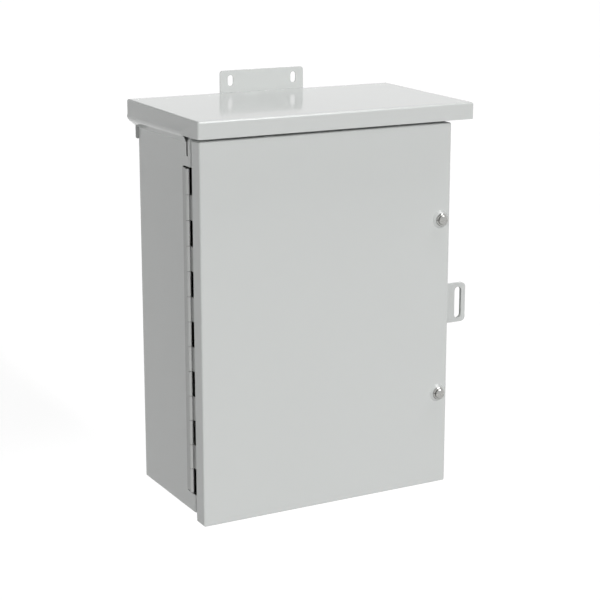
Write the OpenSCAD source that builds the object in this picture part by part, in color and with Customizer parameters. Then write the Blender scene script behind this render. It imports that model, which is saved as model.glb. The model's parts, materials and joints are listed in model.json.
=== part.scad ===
// Wall-mounted rainproof control cabinet with a drip hood, a full-height hinged door
// on a continuous hinge, two quarter-turn latches, a padlock hasp and fitted control gear.
// Millimetres. X to the right, Y towards the wall, Z up.
// Y = 0 is the wall, X = 0 the middle of the cabinet, Z = 0 the lower mounting slots.

/* [Cabinet] */
// Width over the body, and over the door that covers it
body_w = 562; // [520:1:620]
// Depth from the back wall's outer face to the front lips
body_d = 251; // [240:1:300]
// Thickness of the folded sheet
sheet = 2; // [1.6:0.1:2.6]
// Outer radius of the bends
bend_r = 4; // [3:0.5:5]
// Width of the lips that turn in beside the door opening
lip_w = 13; // [11:0.5:14]
// Height of the sill and depth of the header at the door opening
sill_h = 28; // [20:1:40]

/* [Door] */
// Height of the door
door_h = 764; // [730:1:820]
// Depth of the door's flanges
door_flange = 34.5; // [30:0.5:40]
// Gap between the door's flanges and the body's lips
door_gap = 5.5; // [4:0.5:7]
// How far the door hangs below the body
door_drop = 17; // [8:1:24]

/* [Hood] */
// Overhang past each side wall
hood_side = 22.7; // [18:0.1:28]
// Overhang in front of the door's face
hood_front = 44.4; // [35:0.1:55]
// Gap between the door's top and the hood's skirt
hood_gap = 11; // [9:0.5:16]
// Height of the skirt at the front
skirt_h = 33.5; // [28:0.5:42]
// Rise of the roof from front to back
hood_rise = 5.7; // [2:0.1:10]
// Fall of the sloped returns from the skirt in to the side walls
return_drop = 19; // [12:0.5:22]
// Outer radius of the bend from the skirt to the sloped returns
fold_r = 16; // [10:0.5:18]
// Depth of the rear flange below the skirt
rear_flange_h = 42; // [30:1:55]
// How far the rear flange shows past each side wall
rear_flange_side = 5; // [4:0.5:10]

/* [Wall brackets] */
// Width of each bracket
bracket_w = 194; // [180:1:220]
// Thickness of each bracket
bracket_t = 2.6; // [2.6:0.1:4]
// How far each bracket stands past the cabinet
bracket_reach = 45.5; // [42:0.5:60]
// Length of each bracket that is welded to the back wall
bracket_lap = 50; // [40:1:70]
// Width of the mounting slots
slot_w = 12; // [8:0.5:14]
// Length of the mounting slots
slot_len = 22.4; // [18:0.2:28]
// Distance between the slots of one bracket
slot_spacing = 146; // [130:1:155]
// Distance from the cabinet to the middle of the slots
slot_reach = 24.3; // [20:0.1:28]

/* [Hinge] */
// Number of knuckles, an odd number
knuckle_count = 13; // [11:2:13]
// Length of one knuckle with its share of the gap
knuckle_pitch = 50; // [46:0.5:52]
// Gap between neighbouring knuckles
knuckle_gap = 0.8; // [0.6:0.1:1.2]
// Thickness of the hinge leaves
leaf_t = 1.6; // [1.4:0.1:2]
// Radius of the hinge pin
pin_r = 3.1; // [2.7:0.1:3.3]
// Radial running clearance of pins and rotors
run_clear = 0.05; // [0.03:0.01:0.08]
// Distance from the door flange's rear edge to the hinge axis
axis_back = 18.3; // [16:0.1:22]
// Reach of the body leaf behind the hinge axis
leaf_w = 22; // [18:1:30]

/* [Latches and hasp] */
// Distance from the door's side to the latch axis
latch_in = 22.9; // [22:0.1:25]
// Distance of each latch above or below the door's middle
latch_span = 184.5; // [150:0.5:230]
// Height of the embossed boss under each latch
boss_h = 5; // [4:0.5:7]
// Radius of the boss at the door's face
boss_r = 18.5; // [17.5:0.5:18.5]
// Radius of the latch housing's flange
latch_r = 13.5; // [12.5:0.5:14]
// Radius of the latch housing's threaded barrel
barrel_r = 9; // [8.5:0.5:9.5]
// Radius of the turning head
head_r = 10; // [9:0.5:11]
// Reach of the cam from the latch axis
cam_reach = 18; // [16:0.5:19]
// Thickness of the cam
cam_t = 3; // [2.5:0.1:4]
// Gap between the cam and the lip that it catches
cam_gap = 1.5; // [1:0.1:2]
// How far the hasp stands out from the door's side
hasp_out = 63.5; // [58:0.5:72]
// Height of the hasp
hasp_h = 84; // [78:1:100]
// Thickness of the hasp plates
hasp_t = 3; // [2.5:0.1:4]
// Width of the padlock slot
lock_slot_w = 16.3; // [12:0.1:18]
// Height of the padlock slot
lock_slot_h = 67; // [55:1:70]
// Width of the rim outside the padlock slot
hasp_rim = 10.2; // [8:0.1:12]
// How far the hasp's middle lies below the door's middle
hasp_drop = 5; // [0:1:12]
// Gap between the door's hasp and the body's hasp
hasp_gap = 1; // [0.6:0.1:1.4]

/* [Back panel] */
// Gap between the equipment panel and each side wall
panel_side = 41; // [36:1:46]
// Distance of the equipment panel's ends from the body's lower edge and the hood's skirt
panel_end = 45; // [40:1:49]
// Thickness of the equipment panel
panel_t = 2.6; // [2:0.1:4]
// Length of the collars that hold the panel off the back wall
collar_len = 20; // [16:1:26]
// Radius of the panel studs
stud_r = 4; // [3:0.5:4.5]

/* [Control gear] */
// Width beside the controller, for the rail and the arrester
side_column = 138; // [130:1:150]
// Height of the controller's case
unit_h = 150; // [140:1:155]
// Depth of the controller's case
unit_d = 128; // [100:1:140]
// Wall of the controller's folded case
unit_wall = 1.5; // [1.2:0.1:2]
// Width of one load switch
switch_w = 50; // [46:1:52]
// Height of one load switch
switch_h = 112; // [100:1:116]
// Depth of one load switch
switch_d = 142; // [120:1:150]
// Distance from the panel's side to the rack's first bay
rack_edge = 28; // [24:1:36]
// Width of one circuit breaker
breaker_w = 18; // [17.5:0.5:19]
// Number of positions on each terminal strip
terminal_count = 16; // [12:1:16]
// Distance from the panel's side to the first terminal
strip_edge = 62; // [56:1:80]

/* [Hidden] */
$fn = 48;
painted = [0.79, 0.80, 0.79];
zinc = [0.80, 0.80, 0.78];
white_panel = [0.92, 0.92, 0.90];
dark_case = [0.16, 0.17, 0.18];
cut_over = 0.2;

// Planes from the wall to the front
back_y = -bracket_t;
lip_y = back_y - body_d;
flange_y = lip_y - door_gap;
face_y = flange_y - door_flange;
hood_y0 = face_y - hood_front;
hood_y1 = back_y + sheet;
inner_back_y = back_y - sheet;

// Heights from the lower slots to the upper ones
body_z0 = slot_reach;
door_z0 = body_z0 - door_drop;
door_z1 = door_z0 + door_h;
door_mid = (door_z0 + door_z1) / 2;
skirt_z0 = door_z1 + hood_gap;
roof_z0 = skirt_z0 + skirt_h;
roof_z1 = roof_z0 + hood_rise;
upper_slot_z = roof_z1 + slot_reach;

// Widths
wall_x = body_w / 2;
inner_x = wall_x - sheet;
hood_w = body_w + 2 * hood_side;
hood_l = hood_y1 - hood_y0;
roof_tilt = atan(hood_rise / hood_l);
inner_r = bend_r - sheet;
window_gap = 0.5;

// The shell stops below the roof's inside bend
roof_room = 3;
function roof_under(y) = roof_z0 + (y - hood_y0) * tan(roof_tilt) - sheet / cos(roof_tilt);

// Hinge
hinge_len = knuckle_count * knuckle_pitch;
hinge_z0 = door_mid - hinge_len / 2;
knuckle_r = pin_r + leaf_t;
barrel_in = 0.3;
axis_x = -wall_x + sheet + leaf_t + barrel_in - knuckle_r;
axis_y = flange_y + axis_back;
leaf_clear = 2;
hinge_notch_y = axis_y + knuckle_r + 1.2;
hinge_notch_end = 3;
flange_leaf_in = 8;

// Relief slot of the left wall where the hood's return ends
return_z = skirt_z0 - return_drop;
relief_back = 19;
relief_slope = 25;
relief_slot_w = 6.5;
relief_slot_h = 26;

// Bend from the hood's skirt to its sloped returns, as (x, z)
hood_x = wall_x + hood_side;
fold_turn = atan2(hood_side, return_drop);
fold_rise = round(10 * fold_r * tan(fold_turn / 2)) / 10;
fold_at = [hood_x - fold_r, skirt_z0 + fold_rise];
fold_y = lip_y + relief_back - relief_slope;
fold_lap = 0.5;
fold_seam = 0.02;

// Latches, measured outwards from the door's face
latch_x = wall_x - latch_in;
latch_zs = [door_mid + latch_span, door_mid - latch_span];
boss_top_r = latch_r + 1;
fit_clear = 0.15;
housing_flange = 4.5;
head_gap = 0.4;
head_t = 4.2;
neck_r = 6;
barrel_len = 16;
locknut_af = 22;
locknut_t = 5;
cam_front = -(door_flange + door_gap + sheet + cam_gap);
shank_w = 7;
cam_half = 7.5;
tip_r = 3.2;
cam_nut_t = 5;
cam_nut_af = 12;
tip_over = 1.5;
screw_slot_w = 3;
screw_slot_d = 2.2;

// Hasp
hasp_z = door_mid - hasp_drop;
hasp_leg = 26;
hasp_r = 10;
lock_slot_x = wall_x + hasp_out - hasp_rim - lock_slot_w / 2;

// Panel and what stands on it
panel_w = 2 * (inner_x - panel_side);
panel_h = skirt_z0 - body_z0 - 2 * panel_end;
panel_y = inner_back_y - collar_len - panel_t;
collar_r = 8;
stud_over = 14;
stud_inset = 24;
panel_z = (body_z0 + skirt_z0) / 2;
nut_t = 6.5;
nut_af = 13;
nut_flange_t = 1.6;
hole_clear = 0.4;

// Sizes of the gear that follow the panel
ear = 2;
ear_w = 18;
unit_edge = 2;
unit_w = panel_w - side_column - 2 * ear_w - unit_edge;
switch_count = 4;
rack_bays = switch_count + 2;
rack_cheek = 12;
rack_over = 19;
bay_pitch = (panel_w - 2 * rack_edge) / rack_bays;
rack_w = rack_bays * bay_pitch + 2 * rack_cheek;
rack_h = switch_h + 2 * rack_over;
rack_d = 120;
rail_edge = 14;
rail_len = side_column - 2 * rail_edge;
strip_cap = 8;
strip_h = 36;
terminal_pitch = (panel_w - 2 * strip_edge) / terminal_count;
strip_w = terminal_count * terminal_pitch + 2 * strip_cap;
bar_edge = 24;
bar_w = panel_w / 2 - 2 * bar_edge;
bar_h = 13;

// Rows of gear from the top of the panel with equal gaps, measured from its middle
row_top = 37;
row_bottom = 57.5;
row_gap = (panel_h - row_top - row_bottom - unit_h - rack_h - 2 * strip_h - bar_h) / 4;
unit_at = [unit_edge + ear_w + (unit_w - panel_w) / 2, panel_h / 2 - row_top - unit_h / 2];
rack_at = [0, unit_at[1] - (unit_h + rack_h) / 2 - row_gap];
strip_at = [for (k = [0, 1]) [0, rack_at[1] - (rack_h + strip_h) / 2 - row_gap - k * (strip_h + row_gap)]];
bar_at = [for (s = [-1, 1]) [s * panel_w / 4, strip_at[1][1] - (strip_h + bar_h) / 2 - row_gap]];
rail_down = 64;
arrester_down = 162;
column_x = (panel_w - side_column) / 2;
rail_at = [column_x, panel_h / 2 - rail_down];
arrester_at = [column_x, panel_h / 2 - arrester_down];
screw_r = 2.2;
screw_head_r = 4.4;
screw_head_t = 2.6;
screw_clear = 0.25;
arrester_w = 64;
arrester_h = 60;
arrester_d = 44;
arrester_cap = 4;

// Grounding studs
ground_at = [-(inner_x + panel_w / 2) / 2, body_z0 + sill_h + 30];
ground_base = 2;
ground_len = 24;
bond_at = [axis_x + 60, door_z0 + 60];
bond_base = 1.5;
bond_len = 18;

// Controller's front
face_w = unit_w - 6;
face_h = unit_h - 6;
face_t = 3;
glass_w = face_w * 0.42;
glass_h = face_h * 0.34;
glass_at = [-face_w * 0.22, face_h * 0.22];
glass_sunk = 0.6;
keypad_w = face_w * 0.26;
keypad_h = face_h * 0.62;
keypad_at = [face_w * 0.31, face_h * 0.12];
keypad_t = 0.8;
key_columns = 4;
key_rows = 5;
plug_r = face_w * 0.044;
plug_pitch = face_w * 0.15;
plug_len = 20;
plug_flange_t = 2.5;
plug_wall = 1.6;
plug_at = [for (k = [-1 : 1]) [-face_w * 0.22 + k * plug_pitch, -face_h * 0.26]];

// Rack and its modules; bays are counted from the left
function bay_x(i) = (i - (rack_bays - 1) / 2) * bay_pitch;
shelf_t = 2;
shelf_lip = 10;
module_r = 3;
bezel_t = 3;
base_t = 2;
module_back = shelf_t + base_t;
module_front = module_back + switch_d;
handle_w = 14;
handle_h = switch_h * 0.36;
handle_d = 22;
handle_post = 5;
lamp_r = 3.2;
lamp_z = [34, 22, 10];
lamp_sunk = 2;
lamp_t = 2.5;
lamp_dome = 1.2;
flasher_d = switch_d - 24;
relay_base = 24;
relay_cover = 56;

// Rail and circuit breakers
rail_d = 7.5;
rail_h = 35;
rail_t = 1;
rail_hat = 25;
rail_screw_in = 8;
breaker_x = [-breaker_w - 4, 14];
breaker_h = 84;
breaker_lift = 2;
nose_h = 46;
breaker_d = 52;
nose_d = 66;
toggle_r = 6;
toggle_z = nose_d - toggle_r;
toggle_w = 8;
toggle_len = 17;
toggle_t = 4;
toggle_tilt = 30;
toggle_clear = 0.5;
well_r = 3.6;
well_d = 5;

// Terminal strips, connection bars and slotted screws
strip_d = 14;
barrier_t = 2;
barrier_h = 8;
function strip_x(i) = (i - (terminal_count - 1) / 2) * terminal_pitch;
pan_r = 4.2;
pan_t = 3;
pan_slot = 1;
bar_t = 8;
bar_lift = 16;
bar_count = 9;
bar_post_r = 6.5;
bar_post_in = 8;
function bar_x(i) = (i - (bar_count - 1) / 2) * bar_w / (bar_count + 1);

// Screw places on the panel
unit_screws = [for (x = [-1, 1], z = [-1, 1])
    unit_at + [x * (unit_w / 2 + ear_w / 2), z * unit_h / 4]];
rack_screws = [for (x = [-1, 1], z = [-1, 1])
    rack_at + [x * (rack_w / 2 - 20), z * (rack_h / 2 - 10)]];
rail_screws = [for (x = [-1, 1]) rail_at + [x * (rail_len / 2 - rail_screw_in), 0]];
arrester_screws = [for (z = [-1, 1]) arrester_at + [0, z * (arrester_h / 2 + ear_w / 2)]];
strip_screws = [for (s = strip_at, x = [-1, 1]) s + [x * (strip_w / 2 + ear_w / 2), 0]];
panel_screws = concat(unit_screws, rack_screws, rail_screws, arrester_screws, strip_screws);

// Rectangle with round corners, centred
module round_rect(w, h, r) {
    square([w - 2 * r, h], center = true);
    square([w, h - 2 * r], center = true);
    for (x = [-1, 1], y = [-1, 1])
        translate([x * (w / 2 - r), y * (h / 2 - r)]) circle(r);
}

// Slot with round ends, upright
module upright_slot(w, len) {
    square([w, len - w], center = true);
    for (s = [-1, 1]) translate([0, s * (len - w) / 2]) circle(w / 2);
}

// Block with a rounded top rim, its top at z = 0
module rounded_top(w, l, d, r) {
    translate([0, 0, -d]) linear_extrude(d - r) round_rect(w, l, r);
    translate([0, 0, -d]) linear_extrude(d) square([w - 2 * r, l - 2 * r], center = true);
    for (s = [-1, 1]) {
        translate([s * (w / 2 - r), 0, -r]) rotate([90, 0, 0]) cylinder(h = l - 2 * r, r = r, center = true);
        translate([0, s * (l / 2 - r), -r]) rotate([0, 90, 0]) cylinder(h = w - 2 * r, r = r, center = true);
        for (q = [-1, 1]) translate([s * (w / 2 - r), q * (l / 2 - r), -r]) sphere(r);
    }
}

// Folded pan, open below, with its top at z = 0
module folded_pan(w, l, d, t, r) {
    difference() {
        rounded_top(w, l, d, r);
        translate([0, 0, -t]) rounded_top(w - 2 * t, l - 2 * t, d, r - t);
    }
}

// Turns an outline drawn as (y, z) into a solid along X
module along_x(x0, x1) {
    translate([x0, 0, 0]) rotate([90, 0, 90]) linear_extrude(x1 - x0) children();
}

// Places a child on the panel's front: x right, y up, z out of the panel
module on_panel(at) {
    translate([at[0], panel_y, panel_z + at[1]]) rotate([90, 0, 0]) children();
}

// Places a child on the door's face at a latch: z outwards
module at_latch(i) {
    translate([latch_x, face_y, latch_zs[i]]) rotate([90, 0, 0]) children();
}

module hex(af, h) {
    cylinder(h = h, r = af / 2 / cos(30), $fn = 6);
}

module body_shell() {
    color(painted) difference() {
        intersection() {
            translate([0, 0, body_z0]) linear_extrude(roof_z1 - body_z0) difference() {
                translate([0, back_y - body_d / 2]) round_rect(body_w, body_d, bend_r);
                translate([0, back_y - body_d / 2])
                    round_rect(body_w - 2 * sheet, body_d - 2 * sheet, inner_r);
                translate([0, lip_y]) square([body_w - 2 * lip_w, 3 * sheet], center = true);
            }
            along_x(-wall_x, wall_x) polygon([
                [lip_y, body_z0], [back_y, body_z0],
                [back_y, roof_under(back_y) - roof_room], [lip_y, roof_under(lip_y) - roof_room]]);
        }
        // Notch for the hinge barrel
        translate([-wall_x - sheet, lip_y - sheet, hinge_z0 - hinge_notch_end])
            cube([lip_w + 2 * sheet, hinge_notch_y - lip_y + sheet, hinge_len + 2 * hinge_notch_end]);
        // Slots at both ends of the hinge's body leaf
        for (z = [hinge_z0 - hinge_notch_end, hinge_z0 + hinge_len])
            translate([-wall_x - sheet, lip_y - sheet, z])
            cube([3 * sheet, axis_y + leaf_w - lip_y + sheet, hinge_notch_end]);
        // Relief slot where the hood's return ends
        translate([-wall_x - sheet, lip_y + relief_back - relief_slot_w, return_z - relief_slot_h])
            cube([3 * sheet, relief_slot_w, relief_slot_h + return_drop]);
    }
}

module bottom_pan() {
    color(painted) translate([0, (inner_back_y + lip_y + sheet) / 2, body_z0]) difference() {
        linear_extrude(sill_h)
            round_rect(body_w - 2 * sheet, body_d - 2 * sheet, inner_r);
        translate([0, 0, sheet]) linear_extrude(sill_h)
            round_rect(body_w - 4 * sheet, body_d - 4 * sheet, inner_r / 2);
    }
}

module front_header() {
    header_z0 = door_z1 - sill_h;
    header_y = lip_y + sheet;
    color(painted) along_x(inner_r - inner_x, inner_x - inner_r) polygon([
        [header_y, header_z0], [header_y + sill_h / 2, header_z0],
        [header_y + sill_h / 2, header_z0 + sheet], [header_y + sheet, header_z0 + sheet],
        [header_y + sheet, roof_under(header_y) - roof_room],
        [header_y, roof_under(header_y) - roof_room]]);
}

// Turns an outline drawn as (x, z) into a solid along Y
module along_y(y0, y1) {
    translate([0, y1, 0]) rotate([90, 0, 0]) linear_extrude(y1 - y0) children();
}

// One sloped return with its bend, from the skirt in to the side wall
module hood_return() {
    wall_end_y = lip_y + relief_back;
    intersection() {
        along_y(fold_y, hood_y1) translate(fold_at) {
            intersection() {
                difference() {
                    circle(fold_r);
                    circle(fold_r - sheet);
                }
                polygon([[0, 0], [2 * fold_r, 0], 2 * fold_r * [1, -tan(fold_turn)]]);
            }
            rotate(-fold_turn) translate([fold_r - sheet + fold_seam, -2 * hood_side])
                square([sheet - 2 * fold_seam, 2 * hood_side + fold_lap]);
        }
        translate([0, 0, return_z - sheet]) linear_extrude(skirt_h) polygon([
            [wall_x, wall_end_y], [hood_x - fold_r / 2, fold_y], [hood_x, fold_y],
            [hood_x, hood_y1], [wall_x, hood_y1]]);
    }
}

// What the bend takes away from the skirt's lower corner
module fold_cut() {
    along_y(fold_y, hood_y1 + cut_over) difference() {
        translate([hood_x - fold_r / 2, skirt_z0 - 1])
            square([fold_r / 2 + cut_over, fold_rise + 1]);
        translate(fold_at) circle(fold_r);
    }
}

module drip_hood() {
    skirt_d = roof_z1 - skirt_z0 + 4 * sheet;
    flange_h = rear_flange_h + bend_r;
    color(painted) difference() {
        union() {
            difference() {
                intersection() {
                    translate([0, hood_y0, roof_z0]) rotate([roof_tilt, 0, 0])
                        translate([0, hood_l / 2 / cos(roof_tilt), 0])
                        folded_pan(hood_w, hood_l / cos(roof_tilt), skirt_d, sheet, bend_r);
                    translate([-hood_w, hood_y0 - hood_l, skirt_z0])
                        cube([2 * hood_w, 3 * hood_l, 2 * skirt_d]);
                }
                fold_cut();
                mirror([1, 0, 0]) fold_cut();
            }
            hood_return();
            mirror([1, 0, 0]) hood_return();
            translate([0, hood_y1, skirt_z0 + bend_r - flange_h / 2]) rotate([90, 0, 0]) linear_extrude(sheet)
                round_rect(body_w + 2 * rear_flange_side, flange_h, bend_r);
        }
        // Window for the upper bracket
        translate([-bracket_w / 2 - window_gap, back_y, skirt_z0 - rear_flange_h - 1])
            cube([bracket_w + 2 * window_gap, 3 * sheet, roof_z1]);
    }
}

// Bracket plate with two upright slots, its slots on z = 0
module wall_bracket_plate() {
    end = bracket_reach - slot_reach;
    total = bracket_reach + bracket_lap;
    color(painted) rotate([90, 0, 0]) linear_extrude(bracket_t) difference() {
        translate([0, end - total / 2]) round_rect(bracket_w, total, bend_r + 3);
        for (s = [-1, 1]) translate([s * slot_spacing / 2, 0]) upright_slot(slot_w, slot_len);
    }
}

module top_wall_bracket() {
    translate([0, 0, upper_slot_z]) wall_bracket_plate();
}

module bottom_wall_bracket() {
    mirror([0, 0, 1]) wall_bracket_plate();
}

// One knuckle of the hinge, around its axis
module knuckle(i) {
    translate([axis_x, axis_y, hinge_z0 + i * knuckle_pitch + knuckle_gap / 2])
        cylinder(h = knuckle_pitch - knuckle_gap, r = knuckle_r);
}

module hinge_bore() {
    translate([axis_x, axis_y, hinge_z0 - 1]) cylinder(h = hinge_len + 2, r = pin_r + run_clear);
}

module hinge_body_leaf() {
    color(painted) difference() {
        union() {
            for (i = [0 : 2 : knuckle_count - 1]) {
                knuckle(i);
                translate([-wall_x - leaf_t, axis_y, hinge_z0 + i * knuckle_pitch + knuckle_gap / 2])
                    cube([leaf_t, leaf_w / 2, knuckle_pitch - knuckle_gap]);
            }
            translate([-wall_x - leaf_t, axis_y + knuckle_r + leaf_clear, hinge_z0])
                cube([leaf_t, leaf_w - knuckle_r - leaf_clear, hinge_len]);
        }
        hinge_bore();
    }
}

module hinge_door_leaf() {
    strip_y = face_y + flange_leaf_in;
    color(painted) difference() {
        union() {
            for (i = [1 : 2 : knuckle_count - 1]) {
                knuckle(i);
                translate([sheet - wall_x, strip_y, hinge_z0 + i * knuckle_pitch + knuckle_gap / 2])
                    cube([leaf_t, axis_y - strip_y, knuckle_pitch - knuckle_gap]);
            }
            translate([sheet - wall_x, strip_y, hinge_z0])
                cube([leaf_t, door_flange - flange_leaf_in, hinge_len]);
        }
        hinge_bore();
    }
}

module hinge_pin() {
    color(painted) translate([axis_x, axis_y, hinge_z0 - 1]) cylinder(h = hinge_len + 2, r = pin_r);
}

// Round boss pressed out of the door under a latch, as a solid of the given offset inwards
module boss_form(inset) {
    translate([0, 0, -cut_over - inset]) cylinder(h = cut_over, r = boss_r - inset / 2);
    translate([0, 0, -inset]) cylinder(h = boss_h, r1 = boss_r - inset / 2, r2 = boss_top_r - inset / 2);
}

module door_panel() {
    color(painted) difference() {
        union() {
            translate([0, face_y, door_mid]) rotate([90, 0, 0])
                folded_pan(body_w, door_h, door_flange, sheet, bend_r);
            for (i = [0, 1]) at_latch(i) boss_form(0);
        }
        for (i = [0, 1]) at_latch(i) {
            boss_form(sheet);
            translate([0, 0, -sheet]) cylinder(h = boss_h + 2 * sheet, r = barrel_r + fit_clear);
        }
    }
}

// Hasp plate with the padlock slot, from its outer edge to the side that carries it
module hasp_plate() {
    rotate([90, 0, 0]) linear_extrude(hasp_t) difference() {
        union() {
            translate([wall_x, hasp_z - hasp_h / 2]) square([hasp_out - hasp_r, hasp_h]);
            translate([wall_x, hasp_z - hasp_h / 2 + hasp_r]) square([hasp_out, hasp_h - 2 * hasp_r]);
            for (s = [-1, 1]) translate([wall_x + hasp_out - hasp_r, hasp_z + s * (hasp_h / 2 - hasp_r)])
                circle(hasp_r);
        }
        translate([lock_slot_x, hasp_z]) upright_slot(lock_slot_w, lock_slot_h);
    }
}

module door_hasp() {
    color(painted) {
        translate([0, flange_y, 0]) hasp_plate();
        translate([wall_x, flange_y - hasp_leg, hasp_z - hasp_h / 2]) cube([hasp_t, hasp_leg, hasp_h]);
    }
}

module body_hasp() {
    plate_y = flange_y + hasp_gap;
    color(painted) {
        translate([0, plate_y + hasp_t, 0]) hasp_plate();
        translate([wall_x, plate_y, hasp_z - hasp_h / 2]) cube([hasp_t, hasp_leg + hasp_t, hasp_h]);
    }
}

module latch_housing(i) {
    color(zinc) at_latch(i) difference() {
        union() {
            translate([0, 0, boss_h]) cylinder(h = housing_flange / 2, r = latch_r);
            translate([0, 0, boss_h + housing_flange / 2])
                cylinder(h = housing_flange / 2, r1 = latch_r, r2 = latch_r - housing_flange / 3);
            translate([0, 0, -barrel_len]) cylinder(h = barrel_len + boss_h, r = barrel_r);
        }
        translate([0, 0, -barrel_len - 1])
            cylinder(h = barrel_len + boss_h + housing_flange + 2, r = neck_r + run_clear);
    }
}

module latch_locknut(i) {
    color(zinc) at_latch(i) translate([0, 0, boss_h - sheet - locknut_t]) difference() {
        hex(locknut_af, locknut_t);
        translate([0, 0, -1]) cylinder(h = locknut_t + 2, r = barrel_r + run_clear);
    }
}

module latch_rotor(i) {
    head_z = boss_h + housing_flange + head_gap;
    tip_len = cam_t + cam_nut_t + tip_over;
    color(zinc) at_latch(i) difference() {
        union() {
            translate([0, 0, head_z]) cylinder(h = head_t / 2, r = head_r);
            translate([0, 0, head_z + head_t / 2]) cylinder(h = head_t / 2, r1 = head_r, r2 = head_r - 1.5);
            translate([0, 0, cam_front]) cylinder(h = head_z - cam_front, r = neck_r);
            translate([-shank_w / 2, -shank_w / 2, cam_front - cam_t]) cube([shank_w, shank_w, cam_t + 1]);
            translate([0, 0, cam_front - tip_len]) cylinder(h = tip_len, r = tip_r);
        }
        // Screwdriver slot across the head
        translate([-head_r, -screw_slot_w / 2, head_z + head_t - screw_slot_d])
            cube([2 * head_r, screw_slot_w, screw_slot_d + 1]);
    }
}

module latch_cam(i) {
    color(zinc) at_latch(i) translate([0, 0, cam_front - cam_t]) linear_extrude(cam_t) difference() {
        union() {
            circle(cam_half);
            translate([-cam_half, -cam_reach + cam_half / 2])
                square([2 * cam_half, cam_reach - cam_half / 2]);
            translate([-cam_half / 2, -cam_reach]) square([cam_half, cam_half / 2]);
            for (s = [-1, 1]) translate([s * cam_half / 2, -cam_reach + cam_half / 2]) circle(cam_half / 2);
        }
        square(shank_w + 2 * run_clear, center = true);
    }
}

module latch_cam_nut(i) {
    color(zinc) at_latch(i) translate([0, 0, cam_front - cam_t - cam_nut_t]) difference() {
        hex(cam_nut_af, cam_nut_t);
        translate([0, 0, -1]) cylinder(h = cam_nut_t + 2, r = tip_r + run_clear);
    }
}

// The four places where the panel is held
module at_panel_studs() {
    for (x = [-1, 1], z = [-1, 1])
        translate([x * (panel_w / 2 - stud_inset), inner_back_y, panel_z + z * (panel_h / 2 - stud_inset)])
            rotate([90, 0, 0]) children();
}

module panel_studs() {
    color(zinc) at_panel_studs() {
        cylinder(h = collar_len, r = collar_r);
        cylinder(h = collar_len + panel_t + stud_over, r = stud_r);
    }
}

module back_panel() {
    color(white_panel) difference() {
        on_panel([0, 0]) translate([0, 0, -panel_t]) linear_extrude(panel_t)
            round_rect(panel_w, panel_h, bend_r);
        at_panel_studs() cylinder(h = collar_len + 2 * panel_t, r = stud_r + hole_clear);
        for (at = panel_screws) on_panel(at) translate([0, 0, -2 * panel_t])
            cylinder(h = 3 * panel_t, r = screw_r + screw_clear);
    }
}

// Flange nut for the panel and ground studs
module flange_nut() {
    difference() {
        union() {
            cylinder(h = nut_flange_t, r = nut_af * 0.68);
            hex(nut_af, nut_t);
        }
        translate([0, 0, -1]) cylinder(h = nut_t + 2, r = stud_r + run_clear);
    }
}

module panel_nuts() {
    color(zinc) at_panel_studs() translate([0, 0, collar_len + panel_t]) flange_nut();
}

module ground_stud() {
    color(zinc) translate([ground_at[0], inner_back_y, ground_at[1]]) rotate([90, 0, 0]) {
        cylinder(h = ground_base, r = 2 * stud_r);
        cylinder(h = ground_len, r = stud_r);
    }
}

module ground_nut() {
    color(zinc) translate([ground_at[0], inner_back_y - ground_base, ground_at[1]]) rotate([90, 0, 0])
        flange_nut();
}

module door_bond_stud() {
    color(zinc) translate([bond_at[0], face_y + sheet, bond_at[1]]) rotate([-90, 0, 0]) {
        cylinder(h = bond_base, r = 1.6 * stud_r);
        cylinder(h = bond_len, r = 0.75 * stud_r);
    }
}

module controller_case() {
    color(dark_case) on_panel(unit_at) difference() {
        union() {
            linear_extrude(unit_d) round_rect(unit_w, unit_h, bend_r);
            linear_extrude(ear) round_rect(unit_w + 2 * ear_w, unit_h * 0.75, bend_r);
        }
        translate([0, 0, -1]) linear_extrude(unit_d - unit_wall + 1)
            round_rect(unit_w - 2 * unit_wall, unit_h - 2 * unit_wall, bend_r - unit_wall);
        for (x = [-1, 1], y = [-1, 1]) translate([x * (unit_w / 2 + ear_w / 2), y * unit_h / 4, -1])
            cylinder(h = 2 * ear + 1, r = screw_r + screw_clear);
        // Cooling slots along the top and the bottom
        for (s = [-1, 1], k = [-4 : 4]) translate([k * unit_w / 10, s * unit_h / 2, unit_d / 2])
            cube([unit_w / 40, 3 * unit_wall, unit_d / 2], center = true);
    }
}

module controller_faceplate() {
    color([0.72, 0.73, 0.74]) on_panel(unit_at) translate([0, 0, unit_d]) difference() {
        linear_extrude(face_t) round_rect(face_w, face_h, bend_r);
        translate([glass_at[0], glass_at[1], -1]) linear_extrude(face_t + 2)
            round_rect(glass_w + 2 * fit_clear, glass_h + 2 * fit_clear, 2);
        for (p = plug_at) translate([p[0], p[1], -1]) cylinder(h = face_t + 2, r = plug_r + fit_clear);
    }
}

module controller_display() {
    color([0.20, 0.28, 0.22]) on_panel(unit_at) translate([glass_at[0], glass_at[1], unit_d])
        linear_extrude(face_t - glass_sunk) round_rect(glass_w, glass_h, 2);
}

module controller_keypad() {
    key = [keypad_w / key_columns * 0.72, keypad_h / key_rows * 0.68];
    color([0.12, 0.13, 0.15]) on_panel(unit_at) translate([keypad_at[0], keypad_at[1], unit_d + face_t]) {
        linear_extrude(keypad_t) round_rect(keypad_w, keypad_h, 3);
        for (c = [0 : key_columns - 1], r = [0 : key_rows - 1])
            translate([(c - (key_columns - 1) / 2) * keypad_w / (key_columns + 0.3),
                (r - (key_rows - 1) / 2) * keypad_h / (key_rows + 0.3), 0])
            linear_extrude(2 * keypad_t) round_rect(key[0], key[1], 2);
    }
}

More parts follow.
